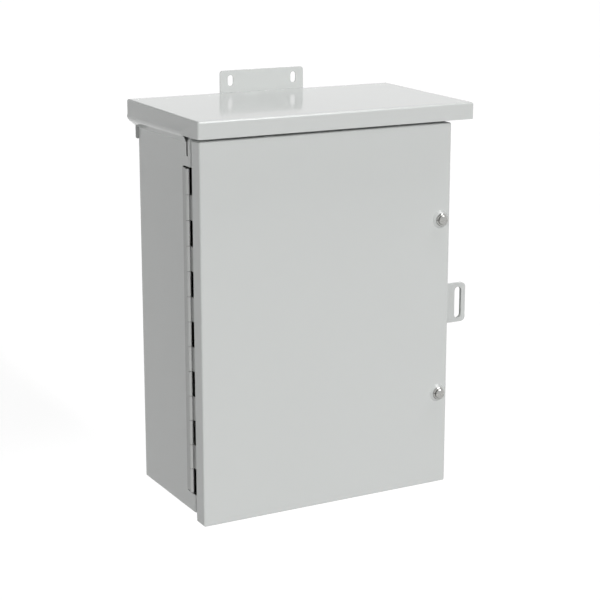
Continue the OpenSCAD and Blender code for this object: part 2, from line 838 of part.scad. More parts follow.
module controller_connectors() {
    color([0.25, 0.26, 0.27]) on_panel(unit_at) for (p = plug_at) translate([p[0], p[1], unit_d])
        difference() {
            union() {
                cylinder(h = face_t, r = plug_r);
                translate([0, 0, face_t]) cylinder(h = plug_flange_t, r = plug_r + plug_flange_t);
                cylinder(h = plug_len, r = plug_r - plug_wall);
            }
            translate([0, 0, face_t + 2 * plug_flange_t]) cylinder(h = plug_len, r = plug_r - 2 * plug_wall);
        }
}

module load_rack() {
    shelf_z = -switch_h / 2 - shelf_t;
    color([0.70, 0.71, 0.72]) on_panel(rack_at) difference() {
        union() {
            linear_extrude(shelf_t) square([rack_w, rack_h], center = true);
            translate([-rack_w / 2, shelf_z, 0]) cube([rack_w, shelf_t, rack_d]);
            translate([-rack_w / 2, shelf_z, rack_d - shelf_t]) cube([rack_w, shelf_t + shelf_lip, shelf_t]);
            for (s = [-1, 1]) translate([s * (rack_w / 2 - shelf_t / 2) - shelf_t / 2, shelf_z, 0])
                cube([shelf_t, switch_h * 0.7, rack_d]);
        }
        for (at = rack_screws) translate([at[0] - rack_at[0], at[1] - rack_at[1], -1])
            cylinder(h = 2 * shelf_t + 1, r = screw_r + screw_clear);
    }
}

// Pull handle on a module's front
module pull_handle() {
    difference() {
        translate([-handle_w / 2, -handle_h, 0]) cube([handle_w, handle_h, handle_d]);
        translate([-handle_w, handle_post - handle_h, -1])
            cube([2 * handle_w, handle_h - 2 * handle_post, handle_d - handle_post + 1]);
    }
}

// Room that a module leaves for the shelf's front lip
module lip_room() {
    translate([-switch_w, -switch_h / 2 - 1, rack_d - shelf_t - 1])
        cube([2 * switch_w, shelf_lip + 2, shelf_t + 2]);
}

module load_switch(i) {
    color([0.13, 0.14, 0.15]) on_panel(rack_at) translate([bay_x(i), 0, 0]) difference() {
        union() {
            translate([-switch_w / 2, -switch_h / 2, shelf_t]) cube([switch_w, switch_h, base_t]);
            translate([0, 0, module_back]) linear_extrude(switch_d - bezel_t)
                round_rect(switch_w - 4, switch_h, module_r);
            translate([0, 0, module_front - bezel_t]) linear_extrude(bezel_t)
                round_rect(switch_w, switch_h, module_r);
            translate([0, 0, module_front]) pull_handle();
        }
        for (z = lamp_z) translate([0, z, module_front - lamp_sunk])
            cylinder(h = 2 * lamp_sunk, r = lamp_r + fit_clear);
        lip_room();
    }
}

module lamp_row(k) {
    on_panel(rack_at) for (i = [0 : switch_count - 1])
        translate([bay_x(i), lamp_z[k], module_front - lamp_sunk]) {
            cylinder(h = lamp_t, r = lamp_r);
            translate([0, 0, lamp_t]) cylinder(h = lamp_dome, r1 = lamp_r, r2 = lamp_r * 0.55);
        }
}

module red_indicators() {
    color([0.75, 0.08, 0.06]) lamp_row(0);
}

module yellow_indicators() {
    color([0.90, 0.62, 0.05]) lamp_row(1);
}

module green_indicators() {
    color([0.05, 0.55, 0.22]) lamp_row(2);
}

module flasher_unit() {
    fin_pitch = switch_w / 6;
    color([0.55, 0.56, 0.57]) on_panel(rack_at) translate([bay_x(switch_count), 0, 0]) difference() {
        translate([0, 0, shelf_t]) {
            linear_extrude(flasher_d) round_rect(switch_w, switch_h, module_r);
            translate([0, 0, flasher_d]) pull_handle();
        }
        // Cooling fins down the upper half of the front
        for (k = [-2 : 2]) translate([k * fin_pitch - fin_pitch / 5, 4, shelf_t + flasher_d * 0.9])
            cube([fin_pitch * 0.4, switch_h, flasher_d]);
        lip_room();
    }
}

module transfer_relay() {
    w = switch_w - 4;
    h = switch_h * 0.72;
    color([0.80, 0.82, 0.84]) on_panel(rack_at)
        translate([bay_x(switch_count + 1), (h - switch_h) / 2, shelf_t]) {
            linear_extrude(relay_base) round_rect(w, h, module_r);
            translate([0, 0, relay_base]) linear_extrude(relay_cover) round_rect(w - 6, h - 6, module_r + 1);
        }
}

module din_rail() {
    wing = (rail_h - rail_hat) / 2;
    color(zinc) on_panel(rail_at) difference() {
        translate([-rail_len / 2, 0, 0]) rotate([90, 0, 90]) linear_extrude(rail_len) {
            translate([-rail_hat / 2, 0]) square([rail_hat, rail_t]);
            for (s = [-1, 1]) {
                translate([s * (rail_hat / 2 - rail_t / 2) - rail_t / 2, 0]) square([rail_t, rail_d]);
                translate([s * (rail_hat / 2 + wing / 2) - wing / 2 - rail_t / 2, rail_d - rail_t])
                    square([wing + rail_t, rail_t]);
            }
        }
        for (at = rail_screws) translate([at[0] - rail_at[0], 0, -1])
            cylinder(h = rail_d, r = screw_r + screw_clear);
    }
}

// Circuit breaker clipped on the rail, with a pocket for the toggle in its nose
module breaker(i, poles) {
    w = breaker_w * poles;
    pocket_w = toggle_w + 2 * toggle_clear;
    pocket_h = 2 * toggle_r + 2 * toggle_t;
    color([0.86, 0.87, 0.86]) on_panel(rail_at) translate([breaker_x[i], 0, 0]) difference() {
        translate([-w / 2, 0, 0]) rotate([90, 0, 90]) linear_extrude(w) difference() {
            union() {
                translate([-breaker_h / 2, breaker_lift]) square([breaker_h, breaker_d - breaker_lift]);
                translate([-nose_h / 2, breaker_lift]) square([nose_h, nose_d - breaker_lift]);
            }
            translate([-rail_h / 2 - 1, 0]) square([rail_h + 2, rail_d]);
        }
        translate([0, 0, toggle_z]) rotate([0, 90, 0])
            cylinder(h = pocket_w, r = toggle_r + toggle_clear, center = true);
        translate([-pocket_w / 2, -pocket_h / 2, toggle_z]) cube([pocket_w, pocket_h, nose_d]);
        // Terminal screw wells at the top and the bottom
        for (p = [0 : poles - 1], s = [-1, 1])
            translate([(p - (poles - 1) / 2) * breaker_w, s * (breaker_h / 2 - 9), breaker_d - well_d])
            cylinder(h = well_d + 1, r = well_r);
    }
}

module breaker_toggle(i) {
    lever_w = toggle_w - 1;
    color([0.10, 0.10, 0.11]) on_panel(rail_at) translate([breaker_x[i], 0, toggle_z]) {
        rotate([0, 90, 0]) cylinder(h = toggle_w, r = toggle_r, center = true);
        rotate([-toggle_tilt, 0, 0]) translate([-lever_w / 2, -toggle_t / 2, 0])
            cube([lever_w, toggle_t, toggle_len]);
    }
}

module surge_arrester() {
    color([0.10, 0.11, 0.13]) on_panel(arrester_at) difference() {
        union() {
            linear_extrude(ear + 1) round_rect(arrester_w * 0.6, arrester_h + 2 * ear_w, bend_r);
            linear_extrude(arrester_d) round_rect(arrester_w, arrester_h, bend_r);
            translate([0, 0, arrester_d]) linear_extrude(arrester_cap)
                round_rect(arrester_w - 10, arrester_h - 20, bend_r);
        }
        for (s = [-1, 1]) translate([0, s * (arrester_h / 2 + ear_w / 2), -1])
            cylinder(h = 10, r = screw_r + screw_clear);
    }
}

module terminal_strip(k) {
    color([0.09, 0.09, 0.10]) on_panel(strip_at[k]) difference() {
        union() {
            translate([-strip_w / 2, -strip_h / 2, 0]) cube([strip_w, strip_h, strip_d]);
            for (i = [0 : terminal_count])
                translate([(i - terminal_count / 2) * terminal_pitch - barrier_t / 2, -strip_h / 2, 0])
                cube([barrier_t, strip_h, strip_d + barrier_h]);
            linear_extrude(ear + 1) square([strip_w + 2 * ear_w, strip_h * 0.6], center = true);
        }
        for (s = [-1, 1]) translate([s * (strip_w / 2 + ear_w / 2), 0, -1])
            cylinder(h = 10, r = screw_r + screw_clear);
    }
}

// Slotted pan head
module pan_head(r, t) {
    difference() {
        union() {
            cylinder(h = t * 0.6, r = r);
            translate([0, 0, t * 0.6]) cylinder(h = t * 0.4, r1 = r, r2 = r * 0.8);
        }
        translate([-r, -pan_slot / 2, t * 0.55]) cube([2 * r, pan_slot, t]);
    }
}

module terminal_screws() {
    color(zinc) for (k = [0, 1]) on_panel(strip_at[k])
        for (i = [0 : terminal_count - 1], s = [-1, 1])
            translate([strip_x(i), s * strip_h / 4, strip_d]) pan_head(pan_r, pan_t);
}

module bar_posts() {
    color([0.12, 0.12, 0.13]) for (k = [0, 1], s = [-1, 1])
        on_panel(bar_at[k] + [s * (bar_w / 2 - bar_post_in), 0]) cylinder(h = bar_lift, r = bar_post_r);
}

module connection_bar(k) {
    on_panel(bar_at[k]) translate([-bar_w / 2, -bar_h / 2, bar_lift]) cube([bar_w, bar_h, bar_t]);
}

module neutral_bar() {
    color([0.78, 0.78, 0.76]) connection_bar(0);
}

module ground_bar() {
    color([0.78, 0.55, 0.25]) connection_bar(1);
}

module bar_screws() {
    color(zinc) for (k = [0, 1]) on_panel(bar_at[k]) for (i = [0 : bar_count - 1])
        translate([bar_x(i), 0, bar_lift + bar_t]) pan_head(pan_r, pan_t);
}

// Screws that hold the gear, each seated on its ear and passing through the panel
module panel_screw(at, seat) {
    on_panel(at) {
        translate([0, 0, seat]) pan_head(screw_head_r, screw_head_t);
        translate([0, 0, -panel_t - 3]) cylinder(h = seat + panel_t + 3, r = screw_r);
    }
}

module panel_screws() {
    color(zinc) {
        for (at = unit_screws) panel_screw(at, ear);
        for (at = rack_screws) panel_screw(at, shelf_t);
        for (at = rail_screws) panel_screw(at, rail_t);
        for (at = arrester_screws) panel_screw(at, ear + 1);
        for (at = strip_screws) panel_screw(at, ear + 1);
    }
}

body_shell();
bottom_pan();
front_header();
drip_hood();
top_wall_bracket();
bottom_wall_bracket();
hinge_body_leaf();
hinge_pin();
hinge_door_leaf();
door_panel();
door_hasp();
body_hasp();
latch_housing(0);  // upper_latch_housing
latch_locknut(0);  // upper_latch_locknut
latch_rotor(0);  // upper_latch_rotor
latch_cam(0);  // upper_latch_cam
latch_cam_nut(0);  // upper_latch_cam_nut
latch_housing(1);  // lower_latch_housing
latch_locknut(1);  // lower_latch_locknut
latch_rotor(1);  // lower_latch_rotor
latch_cam(1);  // lower_latch_cam
latch_cam_nut(1);  // lower_latch_cam_nut
panel_studs();
back_panel();
panel_nuts();
ground_stud();
ground_nut();
door_bond_stud();
controller_case();
controller_faceplate();
controller_display();
controller_keypad();
controller_connectors();
load_rack();
load_switch(0);  // load_switch_1
load_switch(1);  // load_switch_2
load_switch(2);  // load_switch_3
load_switch(3);  // load_switch_4
flasher_unit();
transfer_relay();
red_indicators();
yellow_indicators();
green_indicators();
din_rail();
breaker(0, 2);  // main_breaker
breaker_toggle(0);  // main_breaker_toggle
breaker(1, 1);  // signal_breaker
breaker_toggle(1);  // signal_breaker_toggle
surge_arrester();
terminal_strip(0);  // upper_terminal_strip
terminal_strip(1);  // lower_terminal_strip
terminal_screws();
neutral_bar();
ground_bar();
bar_posts();
bar_screws();
panel_screws();
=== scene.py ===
# Wall-mounted control cabinet: finishes, small trim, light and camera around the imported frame
import json
import math

import bmesh
import bpy
from mathutils import Matrix, Vector


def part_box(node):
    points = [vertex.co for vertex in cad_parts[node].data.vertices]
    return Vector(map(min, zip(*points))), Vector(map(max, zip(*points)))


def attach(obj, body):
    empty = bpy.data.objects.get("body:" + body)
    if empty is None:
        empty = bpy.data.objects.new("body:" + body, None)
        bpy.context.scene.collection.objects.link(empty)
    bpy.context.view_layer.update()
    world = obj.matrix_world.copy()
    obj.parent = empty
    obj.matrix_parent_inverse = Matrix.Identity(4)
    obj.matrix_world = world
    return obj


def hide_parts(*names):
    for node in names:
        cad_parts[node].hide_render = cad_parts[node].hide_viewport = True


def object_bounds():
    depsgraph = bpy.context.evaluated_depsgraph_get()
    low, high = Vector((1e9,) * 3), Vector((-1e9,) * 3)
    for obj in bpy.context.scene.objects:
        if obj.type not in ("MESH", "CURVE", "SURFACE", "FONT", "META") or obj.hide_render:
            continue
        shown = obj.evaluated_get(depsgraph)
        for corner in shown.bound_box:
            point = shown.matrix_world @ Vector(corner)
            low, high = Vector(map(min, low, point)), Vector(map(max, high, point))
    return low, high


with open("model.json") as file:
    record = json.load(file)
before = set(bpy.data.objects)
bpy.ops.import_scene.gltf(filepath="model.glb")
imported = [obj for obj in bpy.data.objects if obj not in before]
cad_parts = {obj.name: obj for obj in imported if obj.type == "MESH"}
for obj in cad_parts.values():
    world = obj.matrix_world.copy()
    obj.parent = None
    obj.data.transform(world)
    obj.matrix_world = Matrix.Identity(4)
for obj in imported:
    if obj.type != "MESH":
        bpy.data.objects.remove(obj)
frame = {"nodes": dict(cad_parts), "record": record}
cadLow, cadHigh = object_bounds()
nodes = frame["nodes"]


def addObject(name, data):
    made = bpy.data.objects.new(name, data)
    bpy.context.scene.collection.objects.link(made)
    return made


# Camera: seen from the front left and a little above, at the photograph's angle
cameraSettings = {
    "place": (-1.5552, -3.0448, 1.2304),  # metres
    "yaw": 28.4,  # degrees from +Y towards +X
    "pitch": 13.08,  # degrees downwards
    "focalPixels": 1640.0,
    "imagePixels": 600.0,
    "shiftY": -0.05,
    "sensor": 36.0,  # millimetres
    "clipEnd": 100.0,
}


def makeCamera(s):
    data = bpy.data.cameras.new("camera")
    camera = addObject("camera", data)
    data.sensor_width = s["sensor"]
    data.lens = s["sensor"] * s["focalPixels"] / s["imagePixels"]
    data.shift_y = s["shiftY"]
    data.clip_end = s["clipEnd"]
    camera.location = s["place"]
    camera.rotation_euler = (math.radians(90.0 - s["pitch"]), 0.0, math.radians(-s["yaw"]))
    bpy.context.scene.camera = camera


makeCamera(cameraSettings)
bpy.context.scene.view_settings.view_transform = "Standard"
print("camera set")


# Shader helpers
def linkNodes(tree, source, target):
    tree.links.new(source, target)


def newGroup(name, inputs, outputs):
    tree = bpy.data.node_groups.new(name, "ShaderNodeTree")
    for direction, sockets in (("INPUT", inputs), ("OUTPUT", outputs)):
        for socketName, kind in sockets:
            tree.interface.new_socket(name=socketName, in_out=direction, socket_type="NodeSocket" + kind)
    return tree, tree.nodes.new("NodeGroupInput"), tree.nodes.new("NodeGroupOutput")


# The noise behind the finishes
noiseSettings = {
    "driftDetail": 3.0,
    "driftRough": 0.55,
    "driftMiddle": 0.5,  # a noise of this value leaves the colour as it is
    "grainDetail": 2.0,
    "blotchScale": 9.0,
    "blotchDetail": 4.0,
    "lineDetail": 3.0,
    "span": (0.3, 0.7),  # the part of a noise that goes from smoothest to roughest
}


# Slow drift of a finish's tone over the surface
def makeToneDrift(s):
    tree, source, target = newGroup(
        "toneDrift", (("Color", "Color"), ("Size", "Float"), ("Amount", "Float")), (("Color", "Color"),))
    place = tree.nodes.new("ShaderNodeTexCoord")
    cloud = tree.nodes.new("ShaderNodeTexNoise")
    cloud.inputs["Detail"].default_value = s["driftDetail"]
    cloud.inputs["Roughness"].default_value = s["driftRough"]
    centred = tree.nodes.new("ShaderNodeMath")
    centred.operation = "SUBTRACT"
    centred.inputs[1].default_value = s["driftMiddle"]
    share = tree.nodes.new("ShaderNodeMath")
    share.operation = "MULTIPLY_ADD"
    share.inputs[2].default_value = 1.0
    tinted = tree.nodes.new("ShaderNodeVectorMath")
    tinted.operation = "SCALE"
    linkNodes(tree, place.outputs["Object"], cloud.inputs["Vector"])
    linkNodes(tree, source.outputs["Size"], cloud.inputs["Scale"])
    linkNodes(tree, cloud.outputs["Fac"], centred.inputs[0])
    linkNodes(tree, centred.outputs[0], share.inputs[0])
    linkNodes(tree, source.outputs["Amount"], share.inputs[1])
    linkNodes(tree, source.outputs["Color"], tinted.inputs[0])
    linkNodes(tree, share.outputs[0], tinted.inputs["Scale"])
    linkNodes(tree, tinted.outputs[0], target.inputs["Color"])
    return tree


# Roughness that follows a noise between a finish's two ends
def spreadRoughness(tree, source, noise, target, span):
    ends = tree.nodes.new("ShaderNodeMapRange")
    ends.inputs["From Min"].default_value, ends.inputs["From Max"].default_value = span
    linkNodes(tree, noise.outputs["Fac"], ends.inputs["Value"])
    linkNodes(tree, source.outputs["Smoothest"], ends.inputs["To Min"])
    linkNodes(tree, source.outputs["Roughest"], ends.inputs["To Max"])
    linkNodes(tree, ends.outputs["Result"], target.inputs["Roughness"])


# Fine relief of a sprayed or moulded skin, with the roughness that goes with it
def makeSkinGrain(s):
    tree, source, target = newGroup(
        "skinGrain", (("Scale", "Float"), ("Smoothest", "Float"), ("Roughest", "Float")),
        (("Height", "Float"), ("Roughness", "Float")))
    place = tree.nodes.new("ShaderNodeTexCoord")
    grain = tree.nodes.new("ShaderNodeTexNoise")
    grain.inputs["Detail"].default_value = s["grainDetail"]
    blotch = tree.nodes.new("ShaderNodeTexNoise")
    blotch.inputs["Scale"].default_value = s["blotchScale"]
    blotch.inputs["Detail"].default_value = s["blotchDetail"]
    linkNodes(tree, place.outputs["Object"], grain.inputs["Vector"])
    linkNodes(tree, place.outputs["Object"], blotch.inputs["Vector"])
    linkNodes(tree, source.outputs["Scale"], grain.inputs["Scale"])
    linkNodes(tree, grain.outputs["Fac"], target.inputs["Height"])
    spreadRoughness(tree, source, blotch, target, s["span"])
    return tree


# Long fine lines of drawn, rolled or brushed metal
def makeBrushLines(s):
    tree, source, target = newGroup(
        "brushLines", (("Along", "Vector"), ("Smoothest", "Float"), ("Roughest", "Float")),
        (("Height", "Float"), ("Roughness", "Float")))
    place = tree.nodes.new("ShaderNodeTexCoord")
    stretch = tree.nodes.new("ShaderNodeVectorMath")
    stretch.operation = "MULTIPLY"
    lines = tree.nodes.new("ShaderNodeTexNoise")
    lines.inputs["Scale"].default_value = 1.0
    lines.inputs["Detail"].default_value = s["lineDetail"]
    linkNodes(tree, place.outputs["Object"], stretch.inputs[0])
    linkNodes(tree, source.outputs["Along"], stretch.inputs[1])
    linkNodes(tree, stretch.outputs[0], lines.inputs["Vector"])
    linkNodes(tree, lines.outputs["Fac"], target.inputs["Height"])
    spreadRoughness(tree, source, lines, target, s["span"])
    return tree


groups = {
    "drift": makeToneDrift(noiseSettings),
    "grain": makeSkinGrain(noiseSettings),
    "brush": makeBrushLines(noiseSettings),
}


# From the sRGB values that the settings give to what a shader takes
def linear(colour):
    return tuple(c / 12.92 if c <= 0.04045 else ((c + 0.055) / 1.055) ** 2.4 for c in colour) + (1.0,)


# What a finish has where it doesn't say otherwise
plainFinish = {
    "drift": 0.05,
    "driftSize": 4.0,  # turns of the noise in a metre
    "grain": 600.0,
    "bump": 0.1,
    "depth": 0.0002,  # metres
    "metal": 0.0,
    "ior": 1.5,
    "coat": 0.0,
    "coatRough": 0.05,
    "clear": 0.0,
}


# One finish: a drifting colour, a skin that sets the roughness, and a fine bump
def makeFinish(name, s):
    material = bpy.data.materials.new(name)
    material.use_nodes = True
    tree = material.node_tree
    shader = tree.nodes["Principled BSDF"]
    drift = tree.nodes.new("ShaderNodeGroup")
    drift.node_tree = groups["drift"]
    drift.inputs["Color"].default_value = linear(s["colour"])
    drift.inputs["Size"].default_value = s["driftSize"]
    drift.inputs["Amount"].default_value = s["drift"]
    skin = tree.nodes.new("ShaderNodeGroup")
    if "along" in s:
        skin.node_tree = groups["brush"]
        skin.inputs["Along"].default_value = s["along"]
    else:
        skin.node_tree = groups["grain"]
        skin.inputs["Scale"].default_value = s["grain"]
    skin.inputs["Smoothest"].default_value = s["rough"][0]
    skin.inputs["Roughest"].default_value = s["rough"][1]
    bump = tree.nodes.new("ShaderNodeBump")
    bump.inputs["Strength"].default_value = s["bump"]
    bump.inputs["Distance"].default_value = s["depth"]
    linkNodes(tree, drift.outputs["Color"], shader.inputs["Base Color"])
    linkNodes(tree, skin.outputs["Roughness"], shader.inputs["Roughness"])
    linkNodes(tree, skin.outputs["Height"], bump.inputs["Height"])
    linkNodes(tree, bump.outputs["Normal"], shader.inputs["Normal"])
    shader.inputs["Metallic"].default_value = s["metal"]
    shader.inputs["IOR"].default_value = s["ior"]
    shader.inputs["Coat Weight"].default_value = s["coat"]
    shader.inputs["Coat Roughness"].default_value = s["coatRough"]
    shader.inputs["Transmission Weight"].default_value = s["clear"]
    return material


finishSettings = {
    "cabinet_paint": {"colour": (0.775, 0.784, 0.778), "rough": (0.07, 0.11), "grain": 420.0, "bump": 0.03,
                      "drift": 0.025, "driftSize": 2.5},
    "zinc_hardware": {"colour": (0.80, 0.80, 0.78), "rough": (0.22, 0.38), "metal": 1.0, "grain": 900.0,
                      "drift": 0.12, "driftSize": 60.0},
    "bright_latch": {"colour": (0.66, 0.66, 0.65), "rough": (0.12, 0.22), "metal": 1.0, "grain": 900.0,
                     "drift": 0.06, "driftSize": 80.0},
    "white_panel": {"colour": (0.90, 0.90, 0.88), "rough": (0.18, 0.26), "grain": 350.0, "bump": 0.06,
                    "drift": 0.02},
    "dark_case": {"colour": (0.15, 0.16, 0.17), "rough": (0.42, 0.58), "grain": 1300.0, "bump": 0.35,
                  "drift": 0.06},
    "grey_faceplate": {"colour": (0.70, 0.71, 0.72), "rough": (0.28, 0.42), "metal": 1.0,
                       "along": (14.0, 600.0, 1100.0), "bump": 0.06, "drift": 0.04},
    "display_glass": {"colour": (0.16, 0.22, 0.16), "rough": (0.05, 0.09), "grain": 200.0, "bump": 0.01,
                      "coat": 0.6},
    "keypad_film": {"colour": (0.13, 0.14, 0.16), "rough": (0.34, 0.46), "grain": 1600.0, "bump": 0.2},
    "connector_shell": {"colour": (0.30, 0.32, 0.27), "rough": (0.30, 0.42), "metal": 0.8, "grain": 1200.0},
    "cast_flasher": {"colour": (0.60, 0.61, 0.62), "rough": (0.40, 0.55), "metal": 1.0, "grain": 1100.0,
                     "bump": 0.4, "drift": 0.08},
    "relay_cover": {"colour": (0.86, 0.88, 0.90), "rough": (0.06, 0.12), "grain": 150.0, "bump": 0.02,
                    "clear": 0.35},
    "red_lens": {"colour": (0.78, 0.07, 0.05), "rough": (0.08, 0.14), "grain": 400.0, "coat": 0.4},
    "yellow_lens": {"colour": (0.92, 0.66, 0.06), "rough": (0.08, 0.14), "grain": 400.0, "coat": 0.4},
    "green_lens": {"colour": (0.06, 0.58, 0.24), "rough": (0.08, 0.14), "grain": 400.0, "coat": 0.4},
    "pale_plastic": {"colour": (0.83, 0.84, 0.82), "rough": (0.38, 0.50), "grain": 1400.0, "bump": 0.2,
                     "drift": 0.03},
    "black_plastic": {"colour": (0.10, 0.10, 0.105), "rough": (0.36, 0.50), "grain": 1400.0, "bump": 0.25,
                      "drift": 0.08},
    "plated_bar": {"colour": (0.78, 0.78, 0.76), "rough": (0.24, 0.36), "metal": 1.0,
                   "along": (20.0, 900.0, 900.0), "bump": 0.08},
    "brass_bar": {"colour": (0.76, 0.63, 0.40), "rough": (0.22, 0.34), "metal": 1.0,
                  "along": (20.0, 900.0, 900.0), "bump": 0.08},
    # Painted shade: the hinge leaves are a darker grey than the cabinet paint, standing in for the shade the
    # barrel lies in beside the door's flange
    "hingePaintedShade": {"colour": (0.665, 0.670, 0.665), "rough": (0.14, 0.22), "grain": 420.0, "bump": 0.04,
                   "drift": 0.04, "driftSize": 12.0},
    # Steel pin whose dark tone is partly painted shade: seen through the gaps between the knuckles, it makes
    # each joint read as a shaded line
    "hingeSteelPaintedShade": {"colour": (0.34, 0.34, 0.34), "rough": (0.35, 0.50), "metal": 0.6, "grain": 900.0,
                   "drift": 0.10, "driftSize": 40.0},
}
# Painted shade on the hinge: its leaves are greyer than the sheet beside them and its pin is dark, so the
# barrel and the gaps between its knuckles read as shaded
paintedShadeOf = {"hinge_body_leaf": "hingePaintedShade", "hinge_door_leaf": "hingePaintedShade", "hinge_pin": "hingeSteelPaintedShade"}
finishes = {name: makeFinish(name, {**plainFinish, **s}) for name, s in finishSettings.items()}
# Each node takes its slot's finish; the hinge nodes take their painted-shade finishes instead
for part in frame["record"]["subparts"]:
    for materialSlot in nodes[part["node"]].material_slots:
        materialSlot.material = finishes[paintedShadeOf.get(part["node"], part["material_slot"])]
print("finishes:", len(finishes))


# Working copies of the frame's pieces with broken edges: sheet edges and moulded corners catch the light
edgeSettings = {
    "merge": 0.000002,  # metres
    "flat": 0.4,  # degrees: facets of one plane become one face
    "sharp": 32.0,  # degrees: steeper edges are broken
    "segments": 2,
    "flatness": 50,  # the middle of the modifier's scale: normals follow the faces' areas
    "breaks": {  # width of the broken edge for each finish, metres
        "cabinet_paint": 0.0004, "zinc_hardware": 0.0002, "bright_latch": 0.0003, "white_panel": 0.0004,
        "dark_case": 0.0004, "grey_faceplate": 0.0003, "display_glass": 0.0002, "keypad_film": 0.0002,
        "connector_shell": 0.0003, "cast_flasher": 0.0004, "relay_cover": 0.0006, "red_lens": 0.0002,
        "yellow_lens": 0.0002, "green_lens": 0.0002, "pale_plastic": 0.0006, "black_plastic": 0.0004,
        "plated_bar": 0.0004, "brass_bar": 0.0004,
    },
}
bodyOf = {node: body for body, members in frame["record"]["behaviour"]["bodies"].items() for node in members}


# The shape that a piece's modifiers give becomes its own mesh
def plainMesh(piece):
    shaped = piece.evaluated_get(bpy.context.evaluated_depsgraph_get())
    mesh = bpy.data.meshes.new_from_object(shaped)
    piece.modifiers.clear()
    piece.data = mesh


def breakEdges(node, slotName, s):
    mesh = bpy.data.meshes.new(node + "Edges")
    work = bmesh.new()
    work.from_mesh(nodes[node].data)
    bmesh.ops.remove_doubles(work, verts=work.verts, dist=s["merge"])
    bmesh.ops.dissolve_limit(work, angle_limit=math.radians(s["flat"]), verts=work.verts, edges=work.edges)
    for face in work.faces:
        face.smooth = True
    work.to_mesh(mesh)
    work.free()
    # The hinge pieces take their painted-shade finishes here as well
    mesh.materials.append(finishes[paintedShadeOf.get(node, slotName)])
    piece = addObject(node + "Dressed", mesh)
    bevel = piece.modifiers.new("brokenEdges", "BEVEL")
    bevel.width = s["breaks"][slotName]
    bevel.segments = s["segments"]
    bevel.limit_method = "ANGLE"
    bevel.angle_limit = math.radians(s["sharp"])
    even = piece.modifiers.new("evenNormals", "WEIGHTED_NORMAL")  # flat faces stay flat beside a broken edge
    even.weight = s["flatness"]
    plainMesh(piece)
    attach(piece, bodyOf[node])
    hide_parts(node)


for part in frame["record"]["subparts"]:
    breakEdges(part["node"], part["material_slot"], edgeSettings)
print("edges broken on", len(bodyOf), "pieces")


# Small trim: shapes built from rings of points, and one node tree that repeats them
def makeRepeatTree():
    tree = bpy.data.node_groups.new("repeatShape", "GeometryNodeTree")
    for socketName, direction, kind in (
            ("Geometry", "INPUT", "NodeSocketGeometry"), ("First Count", "INPUT", "NodeSocketInt"),
            ("First Step", "INPUT", "NodeSocketVector"), ("Second Count", "INPUT", "NodeSocketInt"),
            ("Second Step", "INPUT", "NodeSocketVector"), ("Finish", "INPUT", "NodeSocketMaterial"),
            ("Geometry", "OUTPUT", "NodeSocketGeometry")):
        tree.interface.new_socket(name=socketName, in_out=direction, socket_type=kind)
    source = tree.nodes.new("NodeGroupInput")
    target = tree.nodes.new("NodeGroupOutput")
    first = tree.nodes.new("GeometryNodeMeshLine")
    second = tree.nodes.new("GeometryNodeMeshLine")
    grid = tree.nodes.new("GeometryNodeInstanceOnPoints")
    places = tree.nodes.new("GeometryNodeRealizeInstances")
    copies = tree.nodes.new("GeometryNodeInstanceOnPoints")
    whole = tree.nodes.new("GeometryNodeRealizeInstances")
    finish = tree.nodes.new("GeometryNodeSetMaterial")
    for line, word in ((first, "First"), (second, "Second")):
        linkNodes(tree, source.outputs[word + " Count"], line.inputs["Count"])
        linkNodes(tree, source.outputs[word + " Step"], line.inputs["Offset"])
    linkNodes(tree, first.outputs["Mesh"], grid.inputs["Points"])
    linkNodes(tree, second.outputs["Mesh"], grid.inputs["Instance"])
    linkNodes(tree, grid.outputs["Instances"], places.inputs["Geometry"])
    linkNodes(tree, places.outputs["Geometry"], copies.inputs["Points"])
    linkNodes(tree, source.outputs["Geometry"], copies.inputs["Instance"])
    linkNodes(tree, copies.outputs["Instances"], whole.inputs["Geometry"])
    linkNodes(tree, whole.outputs["Geometry"], finish.inputs["Geometry"])
    linkNodes(tree, source.outputs["Finish"], finish.inputs["Material"])
    linkNodes(tree, finish.outputs["Geometry"], target.inputs["Geometry"])
    return tree


repeatTree = makeRepeatTree()
repeatInputs = {item.name: item.identifier for item in repeatTree.interface.items_tree
                if item.in_out == "INPUT"}


# A piece stands alone, or is repeated by (count, step) in one or two directions
def makePiece(name, work, body, slotName, first=None, second=(1, (0.0, 0.0, 0.0))):
    bmesh.ops.recalc_face_normals(work, faces=work.faces)
    for face in work.faces:
        face.smooth = True
    mesh = bpy.data.meshes.new(name)
    work.to_mesh(mesh)
    work.free()
    mesh.set_sharp_from_angle(angle=math.radians(edgeSettings["sharp"]))
    mesh.materials.append(finishes[slotName])
    piece = addObject(name, mesh)
    if first:
        copies = piece.modifiers.new("repeat", "NODES")
        copies.node_group = repeatTree
        for word, (count, step) in (("First", first), ("Second", second)):
            copies[repeatInputs[word + " Count"]] = count
            copies[repeatInputs[word + " Step"]] = step
        copies[repeatInputs["Finish"]] = finishes[slotName]
        plainMesh(piece)
    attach(piece, body)


# Rings are lists of points; closed ones run from the last ring back to the first
def joinRings(work, rings, closed=False):
    made = [[work.verts.new(point) for point in ring] for ring in rings]
    pairs = list(zip(made, made[1:]))
    if closed:
        pairs.append((made[-1], made[0]))
    else:
        work.faces.new(made[0])
        work.faces.new(made[-1])
    for lower, upper in pairs:
        for k in range(len(lower)):
            work.faces.new((lower[k - 1], lower[k], upper[k], upper[k - 1]))


# A profile of (radius, distance out of the front) turned about an axis towards -Y
def turnedRings(centre, profile, count):
    x, y, z = centre
    turns = [2.0 * math.pi * k / count for k in range(count)]
    return [[(x + radius * math.cos(t), y - out, z + radius * math.sin(t)) for t in turns]
            for radius, out in profile]


